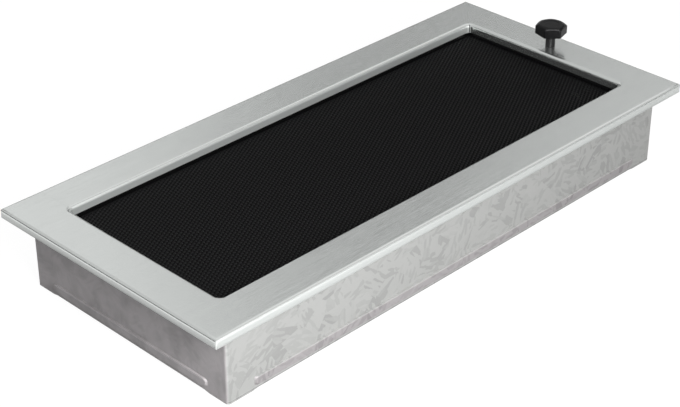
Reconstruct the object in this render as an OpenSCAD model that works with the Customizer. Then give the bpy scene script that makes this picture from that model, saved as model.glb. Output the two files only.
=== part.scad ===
// Fireplace vent grille: a folded face plate with a mesh panel, a louvred shutter worked by a knob,
// and the sleeve that is built into the wall. The origin is the centre of the sleeve's rear rim,
// +Z points out of the face and +X runs along the length towards the knob.

/* [Face plate] */
// Length of the face plate
plate_l = 370; // [364:1:400]
// Width of the face plate
plate_w = 170; // [168:1:200]
// Thickness of the face plate's sheet
plate_t = 1; // [0.8:0.1:1.2]
// Height of the whole grille, from the sleeve's rear rim to the face
overall_h = 50; // [48:1:70]
// Height of the rim that is turned down round the plate
rim_h = 5.2; // [5:0.1:7]
// Width of the flange that is turned in at the rim's foot
rim_flange = 5; // [4:0.5:7]
// Outer radius of the wide bend between the plate and its rim
rim_bend_r = 3; // [1.5:0.1:3.4]
// Outer radius of the plate's close bends, at the rim's foot and round the opening
bend_r = 1.4; // [1.3:0.1:2]
// Radius of the plate's corners
corner_r = 1.5; // [1:0.1:3]
// Width of the flat border at the two ends of the opening
border_end = 23.5; // [23:0.5:30]
// Width of the flat border along the opening's two sides
border_side = 24.5; // [22:0.5:30]
// Radius of the opening's corners
opening_r = 4; // [2:0.5:8]
// Height of the lip that is turned down round the opening
lip_h = 5.7; // [5:0.1:7]

/* [Mounting sleeve] */
// Distance from the plate's ends to the sleeve
sleeve_inset_end = 12; // [9.5:0.5:12.5]
// Distance from the plate's sides to the sleeve
sleeve_inset_side = 8; // [6:0.5:12]
// Thickness of the sleeve's sheet
sleeve_t = 1; // [0.8:0.1:1.2]
// Gap between the sleeve's top edge and the foot of the plate's rim
sleeve_drop = 0.8; // [0.5:0.1:2]
// Outer radius of the sleeve's corner bends
sleeve_bend_r = 2; // [1.5:0.1:4]
// Height of the pressed bead's lower edge above the rear rim
bead_low = 1; // [0.8:0.1:2]
// Width of the bead at the wall
bead_h = 7.3; // [6:0.1:9]
// How far the bead stands out of the wall
bead_rise = 0.9; // [0.6:0.1:1.3]
// Width of the bead's gentle lower flank
bead_low_flank = 2; // [1:0.1:2.5]
// Width of the bead's steep upper flank
bead_high_flank = 0.3; // [0.2:0.1:1]
// Length of the ramp at each end of a bead
bead_ramp = 3.5; // [2:0.5:5]
// How far the pressing draws the rear rim up between a bead's ends
rim_drawn = 0.6; // [0.2:0.1:0.7]
// Distance from the sleeve's corner to the bead's end on a short wall
bead_end_short = 14; // [10:1:30]
// Distance from the sleeve's corner to the bead's end on a long wall
bead_end_long = 16.5; // [10:0.5:30]
// Width of the lap at the sleeve's seam
lap_w = 15; // [13:1:18]

/* [Mesh panel] */
// Thickness of the mesh
mesh_t = 0.8; // [0.6:0.1:1.2]
// Thickness of the tray's upturned edge
mesh_edge_t = 1; // [0.8:0.1:1.5]
// Depth of the mesh below the lip's edge
mesh_drop = 2.1; // [1.5:0.1:3]
// Angle of the mesh's rows from the length
row_angle = 28.2; // [20:0.1:40]
// Distance between two rows of the mesh
row_pitch = 2.12; // [2.12:0.01:4]
// Width of the gap between two rows
row_gap = 1.05; // [0.8:0.05:1.3]
// Distance between two ridges that cross the rows
ridge_pitch = 21.2; // [15:0.1:60]
// Width of a ridge
ridge_w = 0.9; // [0.6:0.1:2]
// Height of a ridge above the mesh
ridge_h = 0.3; // [0.2:0.1:0.6]
// Plain border between the tray's edge and the gaps
mesh_border = 2; // [1:0.5:5]

/* [Shutter frame] */
// Thickness of the rails and end plates
frame_t = 1; // [0.8:0.1:1.2]
// Assembly gap round the mesh tray and the plate's lip
frame_fit = 0.2; // [0.1:0.05:0.3]
// Width of the flanges that are welded under the face plate
weld_flange = 6; // [5:0.5:7]
// Depth of the end plates below the spindles
end_foot = 8; // [5:0.5:12]
// Length of the end plates' side tabs
tab_l = 13; // [10:1:20]
// Width of the tongues that hold the mesh tray up
tongue_w = 12; // [8:1:20]
// Reach of the tongues under the mesh tray
tongue_l = 3; // [2:0.5:4]
// Distance between two tongues along a rail
tongue_pitch = 90; // [60:5:100]

/* [Blades] */
// Number of blades
blade_count = 6; // [4:1:6]
// Room between the opening's edge and the field that the blades share
edge_room = 7.1; // [6.5:0.1:10]
// Overlap of two closed blades
blade_overlap = 1.6; // [1.2:0.1:2]
// Thickness of the blades' sheet
blade_t = 0.7; // [0.5:0.05:0.8]
// Depth of the spindles below the face
pivot_depth = 22; // [21:0.5:24]
// Half-height of the step that raises the blades' far edge, along the width
joggle = 0.5; // [0.4:0.1:0.8]
// Gap between a blade's end and the bushes
blade_end_gap = 1.5; // [1:0.1:3]
// Width of the folded hems at the blade's edges
hem_w = 3; // [2.5:0.1:3.5]
// Gap between two closed blades, and between a blade and its stop
seal_gap = 0.3; // [0.2:0.05:0.4]
// Diameter of the spindles
spindle_d = 3; // [2.6:0.1:3.2]
// Running clearance of spindles, stem and guide rivets, on the radius
run_fit = 0.05; // [0.02:0.01:0.08]
// Press clearance of parts that are fixed on each other, on the radius
press_fit = 0.02; // [0.01:0.01:0.04]
// Outer diameter of the bushes
bush_d = 5; // [4.8:0.1:5.4]
// Diameter of the bushes' flange
bush_flange_d = 7; // [6:0.1:8]
// Thickness of the bushes' flange
bush_flange_t = 0.6; // [0.4:0.1:1]
// Length of the bushes that stands out of the end plate
bush_out = 0.4; // [0.2:0.1:0.5]
// Length of the spindles that stands out of the left end plate
spindle_out = 2; // [1.5:0.5:4]

/* [Knob] */
// Distance from the plate's right end to the knob
knob_inset = 12.5; // [11:0.5:13]
// Place of the knob across the width
knob_y = 3.3; // [0:0.1:8]
// Width of the knob's head across its flats
knob_af = 17.4; // [14:0.1:20]
// Height of the knob's head
knob_h = 6.5; // [5:0.1:8]
// Height of the stem between the plate and the head
stem_h = 8.5; // [6:0.5:12]
// Diameter of the stem
stem_d = 6; // [5:0.1:7]
// Diameter of the stem's foot that passes through the plate
foot_d = 4; // [3:0.1:4.5]
// Radius of the flat on top of the head
knob_flat_r = 6.5; // [5:0.1:7]
// Height of the chamfer at the head's corners
knob_chamfer = 1.7; // [1:0.1:2.5]
// Radius of the shallow dish in the head
dish_r = 4.6; // [3:0.1:5]
// Depth of the dish
dish_depth = 0.35; // [0.2:0.05:0.6]

/* [Shutter drive] */
// Radius of the drive arm and of the cranks
crank_r = 4.6; // [4.4:0.1:4.8]
// Diameter of the drive pin and of the crank pins
pin_d = 2.4; // [2:0.1:2.6]
// Clearance of the pins in the link bar, on each side
pin_slack = 0.25; // [0.2:0.01:0.3]
// Thickness of the cranks and of the drive arm
crank_t = 1.6; // [1.2:0.1:1.8]
// Thickness of the link bar
link_t = 1; // [0.8:0.1:1.2]
// Gap between the right end plate and the link bar
link_gap = 1.1; // [1:0.1:1.4]
// Length of the link bar beyond the last crank
link_end = 6; // [5:0.5:8]
// Width of the fork's prongs
prong_w = 3; // [2.5:0.5:4]
// Width of metal round the hub of a crank or of the drive arm
hub_wall = 1.6; // [1.2:0.1:2]
// Width of metal round the pin of a crank or of the drive arm
eye_wall = 1.1; // [0.9:0.1:1.3]
// Thickness of the friction washer
washer_t = 0.5; // [0.4:0.1:0.6]
// Diameter of the friction washer
washer_d = 8.5; // [8:0.5:10]
// Height of the link bar above the spindles
link_h = 12; // [11:0.5:13]
// Diameter of the guide rivets' shank
guide_d = 3; // [2.6:0.1:3.2]
// Working gap between moving parts that pass each other
work_gap = 0.5; // [0.4:0.05:0.6]

/* [Spring clips and rivets] */
// Thickness of the spring clips
clip_t = 0.6; // [0.4:0.1:0.8]
// Width of the spring clips
clip_w = 14; // [10:1:20]
// Distance of the clips from the middle
clip_x = 105; // [105:5:120]
// Height of the clips' rivets above the spindles
clip_rise = 7; // [6:0.5:8]
// Half-height of the flat part that is riveted on
clip_flat = 4.5; // [4:0.5:5]
// Depth below the spindles at which a clip meets the sleeve
clip_reach = 10; // [8:1:12]
// Height of the part that bears on the sleeve
clip_bear = 4; // [3:0.5:6]
// Width and depth of the foot that is bent back in
clip_foot = 6; // [4:0.5:7]
// Diameter of the rivets' shank
rivet_d = 3; // [2.4:0.1:3.2]
// Diameter of the rivets' head
rivet_head_d = 5.6; // [5:0.1:6.5]
// Height of the rivets' head
rivet_head_h = 1; // [0.8:0.1:1.4]

/* [Hidden] */

$fn = 48;
eps = 0.01;
over = 1;
long_cut = 1000;

// Opening, sleeve and knob, from the plate's edges inwards
opening_l = plate_l - 2 * border_end;
opening_w = plate_w - 2 * border_side;
sleeve_l = plate_l - 2 * sleeve_inset_end;
sleeve_w = plate_w - 2 * sleeve_inset_side;
knob_x = plate_l / 2 - knob_inset;

// Levels, from the face down
face_z = overall_h;
under_z = face_z - plate_t;
rim_z = face_z - rim_h;
lip_z = face_z - lip_h;
mesh_top = lip_z - mesh_drop;
mesh_low = mesh_top - mesh_t;
pivot_z = face_z - pivot_depth;
sleeve_h = rim_z - sleeve_drop;

// Inner faces of the shutter frame, just outside the plate's lip
web_x = opening_l / 2 + plate_t + frame_fit;
web_y = opening_w / 2 + plate_t + frame_fit;
web_out_x = web_x + frame_t;
web_out_y = web_y + frame_t;
end_low = pivot_z - end_foot;
end_corner_cut = 6;

// Rivets: the tail's radius, and the places of the two in each corner of the shutter frame
rivet_tail_r = rivet_d * 0.75;
corner_rivet_top = mesh_low - rivet_tail_r - work_gap;
corner_rivet_low = corner_rivet_top - rivet_head_d * 0.9;
corner_rivets = [[web_x - tab_l * 0.27, corner_rivet_low], [web_x - tab_l * 0.73, corner_rivet_top]];
tab_low = corner_rivet_low - rivet_head_d / 2 - over;
tab_top = under_z - 2 * frame_t;

// Blades
blade_pitch = (opening_w - 2 * edge_room) / blade_count;
blade_half = (blade_pitch + blade_overlap) / 2;
tube_r = spindle_d / 2 + press_fit + blade_t;
hem_low = blade_t / 2 + seal_gap;
blade_l = 2 * (web_x - bush_flange_t - blade_end_gap);
pivots = [for (i = [0:blade_count - 1]) (i - (blade_count - 1) / 2) * blade_pitch];
edge_blade_y = pivots[blade_count - 1] + blade_half;
stop_y = edge_blade_y - blade_overlap;

// Drive: the pins swing from +45 to -45 degrees and move the link bar by the chord
half_stroke = crank_r * sin(45);
slot_w = pin_d + 2 * pin_slack;
link_x = web_out_x + link_gap;
link_out_x = link_x + link_t;
crank_x = link_out_x + work_gap;
crank_out_x = crank_x + crank_t;
pin_end_x = link_x - work_gap / 2;
link_low = pivot_z + spindle_d / 2 + work_gap;
link_top = pivot_z + link_h;
notch_top = pivot_z + crank_r + pin_d / 2 + work_gap;
guide_z = (notch_top + link_top) / 2;
guide_y = (blade_count / 2 - 1) * blade_pitch;
guide_head_d = guide_d + 2;
guide_head_h = 0.8;
guide_play = 0.1;
fork_z = sleeve_h + work_gap;
fork_top = fork_z + link_t;
arm_top = under_z - washer_t - 2 * run_fit;
arm_low = arm_top - crank_t;
arm_rest = 135;
drive_pin_x = knob_x + crank_r * cos(arm_rest);
drive_pin_y = knob_y + crank_r * sin(arm_rest);
foot_head_h = 0.8;
foot_head_d = foot_d + 2;
spindle_head_h = 0.6;

// Knob: the stem's spigot, and the metal above it
spigot_d = stem_d - 1;
spigot_h = knob_h - 2;

// Clips and seam: heights of their rivets
clip_rivet_z = pivot_z + clip_rise;
seam_shares = [0.34, 0.8];
seam_y = sleeve_w / 2 - sleeve_t - lap_w / 2 - over;

// Beads: height of their upper edge, and the rounding of their ends as a share of their width
bead_high = bead_low + bead_h;
bead_round = 0.46;

// Rounded rectangle, centred
module round_rect(l, w, r) {
    square([l - 2 * r, w], center = true);
    square([l, w - 2 * r], center = true);
    for (x = [-1, 1], y = [-1, 1])
        translate([x * (l / 2 - r), y * (w / 2 - r)])
            circle(r);
}

// A section drawn in Y and Z, extruded along X about the middle
module along_x(l) {
    rotate([90, 0, 90])
        linear_extrude(l, center = true)
            children();
}

// A section drawn in X and Z, extruded along Y about the middle
module along_y(l) {
    rotate([90, 0, 0])
        linear_extrude(l, center = true)
            children();
}

// Section across the folded plate: wide bends at the face, close ones at the foot
module fold_section(l, h, face_r, foot_r) {
    intersection() {
        translate([0, -long_cut / 2])
            round_rect(l, h + long_cut, face_r);
        translate([0, long_cut / 2])
            round_rect(l, h + long_cut, foot_r);
    }
}

// A block with the folded plate's section on its four sides, mitred at the corners
module mitred_block(l, w, h, face_r, foot_r) {
    intersection() {
        along_y(long_cut)
            fold_section(l, h, face_r, foot_r);
        along_x(long_cut)
            fold_section(w, h, face_r, foot_r);
    }
}

// Sweeps a section round a rounded rectangle; the section's x runs outwards from its edge
module ring_sweep(l, w, r) {
    for (turn = [0, 180])
        rotate(turn) {
            translate([0, w / 2, 0])
                along_x(l - 2 * r)
                    children();
            translate([l / 2, 0, 0])
                along_y(w - 2 * r)
                    children();
        }
    for (x = [0, 1], y = [0, 1])
        translate([(2 * x - 1) * (l / 2 - r), (2 * y - 1) * (w / 2 - r), 0])
            rotate(y == 1 ? 90 - 90 * x : 180 + 90 * x)
                rotate_extrude(angle = 90)
                    translate([r, 0])
                        children();
}

// The lip's section: a leg turned down from the plate round the bend
module lip_section() {
    translate([0, lip_z])
        square([plate_t, lip_h - bend_r]);
    difference() {
        intersection() {
            translate([bend_r, face_z - bend_r])
                circle(bend_r);
            translate([0, face_z - bend_r])
                square([bend_r, bend_r]);
        }
        translate([bend_r, face_z - bend_r])
            circle(bend_r - plate_t);
    }
    translate([bend_r - eps, under_z])
        square([plate_t / 2, plate_t]);
}

// Folded face plate: flat border, outer rim turned down and in, inner lip turned down
module face_plate() {
    color("#b8babb") {
        difference() {
            translate([0, 0, face_z - rim_h / 2])
                intersection() {
                    mitred_block(plate_l, plate_w, rim_h, rim_bend_r, bend_r);
                    linear_extrude(2 * rim_h, center = true)
                        round_rect(plate_l, plate_w, corner_r);
                }
            translate([0, 0, face_z - rim_h / 2])
                mitred_block(plate_l - 2 * plate_t, plate_w - 2 * plate_t, rim_h - 2 * plate_t,
                             rim_bend_r - plate_t, bend_r - plate_t);
            translate([0, 0, rim_z - over])
                linear_extrude(rim_h / 2)
                    round_rect(plate_l - 2 * rim_flange, plate_w - 2 * rim_flange, corner_r);
            translate([0, 0, rim_z])
                linear_extrude(rim_h + over)
                    round_rect(opening_l + 2 * bend_r, opening_w + 2 * bend_r, opening_r + bend_r);
            translate([knob_x, knob_y, rim_z])
                cylinder(h = rim_h + over, r = foot_d / 2 + run_fit);
        }
        ring_sweep(opening_l, opening_w, opening_r)
            lip_section();
    }
}

// Bars across the panel at an angle, one every pitch, clipped to the given field
module slanted_bars(l, w, angle, pitch, bar) {
    reach = l * sin(angle) / 2 + w * cos(angle) / 2;
    half = floor(reach / pitch);
    intersection() {
        square([l, w], center = true);
        rotate(angle)
            for (i = [-half:half])
                translate([-l, i * pitch - bar / 2])
                    square([2 * l, bar]);
    }
}

// Expanded mesh in a shallow tray: rows of gaps, ridges across them and an upturned edge
module mesh_panel() {
    tray_l = 2 * (web_x - frame_fit / 2);
    tray_w = 2 * (web_y - frame_fit / 2);
    field_l = tray_l - 2 * (mesh_edge_t + mesh_border);
    field_w = tray_w - 2 * (mesh_edge_t + mesh_border);
    color("#202021") {
        translate([0, 0, mesh_low])
            linear_extrude(mesh_t)
                difference() {
                    square([tray_l, tray_w], center = true);
                    slanted_bars(field_l, field_w, row_angle, row_pitch, row_gap);
                }
        translate([0, 0, mesh_top])
            linear_extrude(ridge_h)
                mirror([0, 1])
                    slanted_bars(field_l + mesh_border, field_w + mesh_border, row_angle, ridge_pitch,
                                 ridge_w);
        translate([0, 0, mesh_top])
            linear_extrude(mesh_drop)
                difference() {
                    square([tray_l, tray_w], center = true);
                    square([tray_l - 2 * mesh_edge_t, tray_w - 2 * mesh_edge_t], center = true);
                }
    }
}

// Quarter disc that rounds the outside of a fold, in the quadrant that starts at the given angle
module fold_corner(start) {
    rotate(start)
        intersection() {
            circle(frame_t);
            translate([-eps, -eps])
                square(frame_t + eps);
        }
}

// Flange turned outwards at the top of a web whose outer face is at the given distance
module weld_flange_section(out) {
    translate([out, under_z - frame_t]) {
        fold_corner(90);
        translate([-eps, 0])
            square([weld_flange + eps, frame_t]);
    }
}

// Hole for a rivet through sheets at right angles to Y
module rivet_hole(grip) {
    rotate([90, 0, 0])
        cylinder(h = 2 * grip, r = rivet_d / 2 + run_fit, center = true);
}

// Side rail: weld flange at the top, upright web, tongues for the mesh tray and a stop for a blade
module rail(stop_low) {
    tongue_low = mesh_low - frame_t;
    difference() {
        union() {
            along_x(2 * web_x) {
                translate([web_y, stop_low + frame_t])
                    square([frame_t, under_z - stop_low - 2 * frame_t]);
                weld_flange_section(web_out_y);
                translate([web_y, stop_low + frame_t])
                    fold_corner(270);
                translate([stop_y, stop_low])
                    square([web_y - stop_y + eps, frame_t]);
            }
            for (i = [-1:1])
                translate([i * tongue_pitch - tongue_w / 2, web_y - tongue_l, tongue_low])
                    cube([tongue_w, tongue_l + frame_t / 2, frame_t]);
        }
        for (i = [-1:1])
            translate([i * tongue_pitch - tongue_w / 2, web_y - eps, tongue_low - tongue_l])
                cube([tongue_w, frame_t + 2 * eps, tongue_l]);
        for (x = [-1, 1], spot = corner_rivets)
            translate([x * spot[0], web_y + frame_t / 2, spot[1]])
                rivet_hole(frame_t);
        for (x = [-clip_x, clip_x], dx = [-1, 1])
            translate([x + dx * clip_w / 4, web_y + frame_t / 2, clip_rivet_z])
                rivet_hole(frame_t);
    }
}

module rail_near() {
    color("#242425")
        mirror([0, 1, 0])
            rail(pivot_z + blade_t / 2 + seal_gap);
}

module rail_far() {
    color("#242425")
        rail(pivot_z + hem_low - seal_gap - frame_t);
}

// End plate: upright web with the bush holes, weld flange at the top and tabs lapped on the rails
module end_plate(flange_cuts) {
    difference() {
        union() {
            along_y(2 * web_out_y)
                translate([web_x, end_low])
                    square([frame_t, under_z - frame_t - end_low]);
            along_y(2 * web_y)
                weld_flange_section(web_out_x);
            for (y = [-1, 1])
                translate([web_out_x - tab_l, y * (web_out_y + frame_t / 2) - frame_t / 2, tab_low])
                    cube([tab_l, frame_t, tab_top - tab_low]);
        }
        for (cut = flange_cuts)
            translate([web_out_x, cut[0], under_z - 2 * frame_t])
                cube([weld_flange + over, cut[1] - cut[0], 3 * frame_t]);
        for (y = [-1, 1])
            translate([web_x - over, y * web_out_y, end_low])
                rotate([45, 0, 0])
                    cube([2 * frame_t + 2 * over, end_corner_cut, end_corner_cut], center = true);
        for (y = pivots)
            translate([web_x - over, y, pivot_z])
                rotate([0, 90, 0])
                    cylinder(h = frame_t + 2 * over, r = bush_d / 2 + press_fit);
        for (y = [-1, 1], spot = corner_rivets)
            translate([spot[0], y * (web_out_y + frame_t / 2), spot[1]])
                rivet_hole(frame_t);
        children();
    }
}

module end_plate_left() {
    color("#242425")
        mirror([1, 0, 0])
            end_plate([]);
}

module end_plate_right() {
    clear = half_stroke + 2 * crank_r;
    color("#242425")
        end_plate([[knob_y - clear, knob_y + clear]])
            for (y = [-guide_y, guide_y])
                translate([web_x - over, y, guide_z])
                    rotate([0, 90, 0])
                        cylinder(h = frame_t + 2 * over, r = guide_d / 2 + press_fit);
}

// Rivet along +Z: domed head above z = 0, shank down through the grip and a set tail below it
module rivet(grip) {
    dome_r = (rivet_head_d * rivet_head_d / 4 + rivet_head_h * rivet_head_h) / (2 * rivet_head_h);
    rotate_extrude()
        intersection() {
            translate([0, rivet_head_h - dome_r])
                circle(dome_r, $fn = 96);
            square([rivet_head_d, rivet_head_h]);
        }
    translate([0, 0, -grip - eps])
        cylinder(h = grip + 2 * eps, r = rivet_d / 2);
    translate([0, 0, -grip - rivet_head_h])
        cylinder(h = rivet_head_h, r1 = rivet_d * 0.6, r2 = rivet_tail_r);
}

module frame_rivets() {
    color("#5a5a5c")
        for (x = [-1, 1], y = [-1, 1], spot = corner_rivets)
            translate([x * spot[0], y * (web_out_y + frame_t), spot[1]])
                rotate([-90 * y, 0, 0])
                    rivet(2 * frame_t);
}

// Flanged bush, along +X from the end plate's inner face outwards
module bush() {
    length = frame_t + bush_out;
    rotate([0, 90, 0])
        difference() {
            union() {
                translate([0, 0, -bush_flange_t])
                    cylinder(h = bush_flange_t, d = bush_flange_d);
                translate([0, 0, -eps])
                    cylinder(h = length, d = bush_d);
            }
            translate([0, 0, -bush_flange_t - over])
                cylinder(h = length + bush_flange_t + 2 * over, r = spindle_d / 2 + run_fit);
        }
}

module bushes_right() {
    color("#d8d4c8")
        for (y = pivots)
            translate([web_x, y, pivot_z])
                bush();
}

module bushes_left() {
    color("#d8d4c8")
        mirror([1, 0, 0])
            for (y = pivots)
                translate([web_x, y, pivot_z])
                    bush();
}

// Shouldered rivets that guide the link bar on the right end plate
module guide_rivets() {
    head_x = link_out_x + guide_play - web_x;
    color("#8f9092")
        for (y = [-guide_y, guide_y])
            translate([web_x, y, guide_z])
                rotate([0, 90, 0]) {
                    translate([0, 0, -guide_head_h])
                        cylinder(h = guide_head_h, d = guide_head_d);
                    translate([0, 0, -eps])
                        cylinder(h = head_x + 2 * eps, d = guide_d);
                    translate([0, 0, frame_t])
                        cylinder(h = link_gap - guide_play, d = guide_head_d);
                    translate([0, 0, head_x])
                        cylinder(h = guide_head_h, d = guide_head_d);
                }
}

// Unit direction of a segment, and the outline of a strip of even thickness laid along a path
function unit(v) = v / norm(v);
function side_of(a, b) = let (u = unit(b - a)) [-u[1], u[0]];
function strip_shift(p, i, t) =
    i == 0 ? t * side_of(p[0], p[1]) :
    i == len(p) - 1 ? t * side_of(p[i - 1], p[i]) :
    let (a = side_of(p[i - 1], p[i]), b = side_of(p[i], p[i + 1])) t * (a + b) / (1 + a * b);
function strip_outline(p, t) = concat(p, [for (i = [len(p) - 1:-1:0]) p[i] + strip_shift(p, i, t)]);

// Leaf spring: flat on the rail, then out to bear on the sleeve's wall and back in at the foot
module clip() {
    bear_y = sleeve_w / 2 - sleeve_t - clip_t;
    bear_top = pivot_z - clip_reach;
    bear_low = bear_top - clip_bear;
    path = [[web_out_y, clip_rivet_z + clip_flat], [web_out_y, clip_rivet_z - clip_flat],
            [bear_y, bear_top], [bear_y, bear_low], [bear_y - clip_foot, bear_low - clip_foot]];
    difference() {
        along_x(clip_w)
            polygon(strip_outline(path, clip_t));
        for (dx = [-1, 1])
            translate([dx * clip_w / 4, web_out_y, clip_rivet_z])
                rivet_hole(2 * clip_t);
    }
}

module clip_at(x, y) {
    color("#9da0a3")
        mirror([0, y < 0 ? 1 : 0, 0])
            translate([x, 0, 0])
                clip();
}

module clip_rivets() {
    color("#5a5a5c")
        for (x = [-clip_x, clip_x], y = [-1, 1], dx = [-1, 1])
            translate([x + dx * clip_w / 4, y * (web_out_y + clip_t), clip_rivet_z])
                rotate([-90 * y, 0, 0])
                    rivet(frame_t + clip_t);
}

// How far a flank of the given width stands back on the inner side of the sheet
function set_back(flank) = sleeve_t * (norm([flank, bead_rise]) - flank) / bead_rise;

// Form of a bead on a wall that faces +X: l long at its foot, with sloped flanks and ramped, rounded ends
module bead_form(l, low, high) {
    root = -sleeve_t / 2;
    function spread(run) = root * run / bead_rise;
    intersection() {
        along_y(l + 2 * over)
            polygon([[root, low + spread(bead_low_flank)], [bead_rise, low + bead_low_flank],
                     [bead_rise, high - bead_high_flank], [root, high - spread(bead_high_flank)]]);
        linear_extrude(high + over)
            polygon([[root, -l / 2 + spread(bead_ramp)], [bead_rise, -l / 2 + bead_ramp],
                     [bead_rise, l / 2 - bead_ramp], [root, l / 2 - spread(bead_ramp)]]);
        translate([0, 0, (low + high) / 2])
            along_x(4 * bead_rise)
                round_rect(l + over, high - low + over, bead_round * (high - low) + over / 2);
    }
}

// One bead on each of the four walls, raised from the wall or hollowed in its inner side
module beads(hollow) {
    back = hollow ? sleeve_t : 0;
    low = bead_low + (hollow ? set_back(bead_low_flank) : 0);
    high = bead_high - (hollow ? set_back(bead_high_flank) : 0);
    shorter = hollow ? 2 * set_back(bead_ramp) : 0;
    for (turn = [0, 180])
        rotate(turn) {
            translate([sleeve_l / 2 - back, 0, 0])
                bead_form(sleeve_w - 2 * bead_end_short - shorter, low, high);
            translate([0, sleeve_w / 2 - back, 0])
                rotate(90)
                    bead_form(sleeve_l - 2 * bead_end_long - shorter, low, high);
        }
}

// What the pressing takes from the foot of a wall of length l that runs along X: a shallow ramped step
module drawn_rim(l) {
    outrun = l / 2 + over * bead_ramp / rim_drawn;
    rotate([90, 0, 0])
        linear_extrude(4 * sleeve_t, center = true)
            polygon([[-outrun, -over], [bead_ramp - l / 2, rim_drawn], [l / 2 - bead_ramp, rim_drawn],
                     [outrun, -over]]);
}

// Mounting sleeve: a folded strip with pressed beads, lapped inside its far right corner
module mounting_sleeve() {
    inner_l = sleeve_l - 2 * sleeve_t;
    inner_w = sleeve_w - 2 * sleeve_t;
    inner_r = sleeve_bend_r - sleeve_t;
    lap_low = bead_high + over;
    color("#b7b6b2")
        difference() {
            union() {
                linear_extrude(sleeve_h)
                    difference() {
                        round_rect(sleeve_l, sleeve_w, sleeve_bend_r);
                        round_rect(inner_l, inner_w, inner_r);
                    }
                beads(false);
                translate([inner_l / 2 - sleeve_t, inner_w / 2 - lap_w, lap_low])
                    cube([sleeve_t + eps, lap_w + eps, sleeve_h - lap_low]);
            }
            beads(true);
            for (turn = [0, 180])
                rotate(turn) {
                    translate([0, sleeve_w / 2, 0])
                        drawn_rim(sleeve_l - 2 * bead_end_long);
                    translate([sleeve_l / 2, 0, 0])
                        rotate(90)
                            drawn_rim(sleeve_w - 2 * bead_end_short);
                }
            for (share = seam_shares)
                translate([inner_l / 2, seam_y, share * sleeve_h])
                    rotate([0, 90, 0])
                        cylinder(h = 4 * sleeve_t, r = rivet_d / 2 + run_fit, center = true);
        }
}

module sleeve_rivets() {
    color("#8f9092")
        for (share = seam_shares)
            translate([sleeve_l / 2, seam_y, share * sleeve_h])
                rotate([0, 90, 0])
                    rivet(2 * sleeve_t);
}

// Spring washer between the plate and the drive arm
module friction_washer() {
    color("#9da0a3")
        translate([knob_x, knob_y, arm_top + run_fit])
            difference() {
                cylinder(h = washer_t, d = washer_d);
                translate([0, 0, -over])
                    cylinder(h = washer_t + 2 * over, r = foot_d / 2 + run_fit);
            }
}

// Hexagonal head with a coned top edge, a shallow dish and a blind hole for the stem's spigot
module knob_head() {
    tip_r = knob_af / 2 / cos(30);
    run = tip_r - knob_flat_r;
    color("#1b1b1d")
        translate([knob_x, knob_y, face_z + stem_h])
            difference() {
                intersection() {
                    rotate(-45)
                        cylinder(h = knob_h, r = tip_r, $fn = 6);
                    rotate_extrude($fn = 96)
                        polygon([[0, 0], [tip_r + over, 0],
                                 [tip_r + over, knob_h - knob_chamfer * (run + over) / run],
                                 [knob_flat_r, knob_h], [0, knob_h]]);
                }
                translate([0, 0, knob_h - dish_depth])
                    cylinder(h = over, r = dish_r, $fn = 96);
                translate([0, 0, -over])
                    cylinder(h = spigot_h + over + run_fit, r = spigot_d / 2 + press_fit);
            }
}

// Shouldered stem: it stands on the plate, and its thinner foot is set over the drive arm
module knob_stem() {
    color("#1b1b1d")
        translate([knob_x, knob_y, 0]) {
            translate([0, 0, face_z + run_fit])
                cylinder(h = stem_h - run_fit, d = stem_d);
            translate([0, 0, face_z + stem_h - eps])
                cylinder(h = spigot_h, d = spigot_d);
            translate([0, 0, arm_low - eps])
                cylinder(h = face_z - arm_low + 2 * run_fit, d = foot_d);
            translate([0, 0, arm_low - foot_head_h])
                cylinder(h = foot_head_h, d1 = foot_head_d - foot_head_h, d2 = foot_head_d);
        }
}

// Lever with a bored hub, an eye at the crank's radius and a straight bar between them
module lever(hub_d, bore_r) {
    eye_r = pin_d / 2 + eye_wall;
    linear_extrude(crank_t)
        difference() {
            union() {
                circle(hub_d / 2 + hub_wall);
                translate([crank_r, 0])
                    circle(eye_r);
                translate([0, -0.85 * eye_r])
                    square([crank_r, 1.7 * eye_r]);
            }
            circle(bore_r);
        }
}

module drive_arm() {
    color("#9da0a3")
        difference() {
            translate([knob_x, knob_y, arm_low])
                rotate(arm_rest)
                    lever(foot_d, foot_d / 2 + press_fit);
            translate([drive_pin_x, drive_pin_y, arm_low - over])
                cylinder(h = crank_t + 2 * over, r = pin_d / 2 + press_fit);
        }
}

module drive_pin() {
    low = fork_z - work_gap;
    color("#c2c4c6")
        translate([drive_pin_x, drive_pin_y, low])
            cylinder(h = arm_top - low, d = pin_d);
}

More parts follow.
